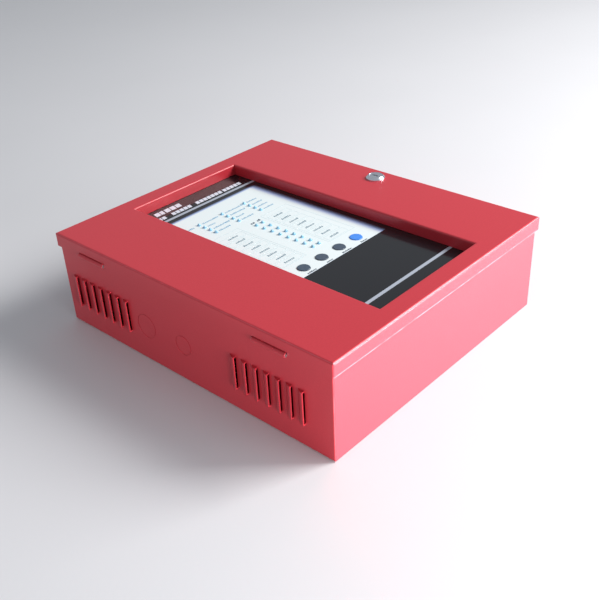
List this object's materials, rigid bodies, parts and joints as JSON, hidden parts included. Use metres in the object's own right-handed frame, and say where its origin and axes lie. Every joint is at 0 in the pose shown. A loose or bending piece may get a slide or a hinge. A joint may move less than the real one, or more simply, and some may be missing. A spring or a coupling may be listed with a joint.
{
  "type": "fire alarm control panel",
  "caption": "Red sheet-steel wall panel with a hinged, cam-locked door and window, louvred side, indicator and button display, boards, power supply and standby batteries inside.",
  "frame": {"origin": "centre of the back plate's outer face, which lies against the wall or on a bench", "axes": "+X right and +Y up as one faces the panel, +Z out of the door"},
  "size_m": [0.3068, 0.3504, 0.1012],
  "materials": {
    "red_powder_coat": "satin powder coat with a fine orange peel",
    "zinc_steel": "zinc plated",
    "chrome_lock": "polished",
    "brass": "plain",
    "black_foam": "closed-cell foam",
    "black_plate": "gloss black",
    "overlay": "gloss printed film",
    "circuit_board": "solder mask",
    "nylon": "natural",
    "led_lens": "tinted clear",
    "black_plastic": "moulded",
    "grey_button": "moulded",
    "blue_button": "moulded",
    "grey_ribbon": "flexible PVC",
    "terminal_green": "moulded",
    "relay_blue": "moulded",
    "capacitor_sleeve": "shrunk sleeve",
    "black_aluminium": "black anodised",
    "fuse_glass": "clear tube with plated caps",
    "lamination_steel": "varnished laminations",
    "winding_tape": "polyester tape over copper",
    "ivory_plastic": "moulded",
    "battery_case": "moulded ABS",
    "wire_insulation": "PVC",
    "yellow_wire": "PVC"
  },
  "bodies": {
    "case": {"back_box": "red_powder_coat", "hinge_box_leaves": "red_powder_coat", "hinge_pins": "zinc_steel", "lock_keeper": "zinc_steel", "display_rails": "zinc_steel", "earth_stud": "brass", "earth_nuts": "brass", "display_plate": "black_plate", "display_label": "overlay", "display_screws": "zinc_steel", "display_pcb": "circuit_board", "display_spacers": "nylon", "display_pcb_screws": "zinc_steel", "status_leds": "led_lens", "zone_leds": "led_lens", "button_switches": "black_plastic", "buzzer": "black_plastic", "display_chips": "black_plastic", "display_header": "black_plastic", "ribbon_cable": "grey_ribbon", "ribbon_plugs": "black_plastic", "main_pcb": "circuit_board", "main_pcb_standoffs": "zinc_steel", "main_pcb_screws": "zinc_steel", "zone_terminals": "terminal_green", "output_terminals": "terminal_green", "power_terminals": "terminal_green", "terminal_screws": "zinc_steel", "main_chips": "black_plastic", "relays": "relay_blue", "capacitors": "capacitor_sleeve", "heatsink": "black_aluminium", "regulators": "black_plastic", "board_fuses": "fuse_glass", "main_header": "black_plastic", "transformer_core": "lamination_steel", "transformer_winding": "winding_tape", "transformer_frame": "zinc_steel", "transformer_nuts": "zinc_steel", "mains_terminal_block": "ivory_plastic", "mains_fuse_holder": "black_plastic", "batteries": "battery_case", "battery_tabs": "zinc_steel", "battery_bracket": "zinc_steel", "bracket_nuts": "zinc_steel", "battery_leads": "wire_insulation", "mains_wires": "wire_insulation", "secondary_wires": "yellow_wire"},
    "door_leaf": {"door": "red_powder_coat", "door_gasket": "black_foam", "hinge_door_leaves": "red_powder_coat", "lock_barrel": "chrome_lock", "lock_nut": "zinc_steel"},
    "lock_core": {"lock_plug": "zinc_steel", "lock_cam": "zinc_steel", "lock_cam_screw": "zinc_steel"},
    "silence_button_body": {"silence_button": "grey_button"},
    "test_button_body": {"test_button": "grey_button"},
    "evacuate_button_body": {"evacuate_button": "grey_button"},
    "reset_button_body": {"reset_button": "blue_button"}
  },
  "joints": [
    {"name": "door_hinge", "type": "hinge", "parent": "case", "child": "door_leaf", "pos_m": [-0.1524, 0, 0.0854], "axis": [0, -1, 0], "range_deg": [0, 120]},
    {"name": "lock_turn", "type": "hinge", "parent": "door_leaf", "child": "lock_core", "pos_m": [0.133, 0.006, 0.09], "axis": [0, 0, 1], "range_deg": [0, 90]},
    {"name": "silence_press", "type": "slide", "parent": "case", "child": "silence_button_body", "axis": [0, 0, -1], "range_m": [0, 0.0006], "stiffness_N_per_m": 2500, "springref_m": -0.0002},
    {"name": "test_press", "type": "slide", "parent": "case", "child": "test_button_body", "axis": [0, 0, -1], "range_m": [0, 0.0006], "stiffness_N_per_m": 2500, "springref_m": -0.0002},
    {"name": "evacuate_press", "type": "slide", "parent": "case", "child": "evacuate_button_body", "axis": [0, 0, -1], "range_m": [0, 0.0006], "stiffness_N_per_m": 2500, "springref_m": -0.0002},
    {"name": "reset_press", "type": "slide", "parent": "case", "child": "reset_button_body", "axis": [0, 0, -1], "range_m": [0, 0.0006], "stiffness_N_per_m": 2500, "springref_m": -0.0002}
  ]
}
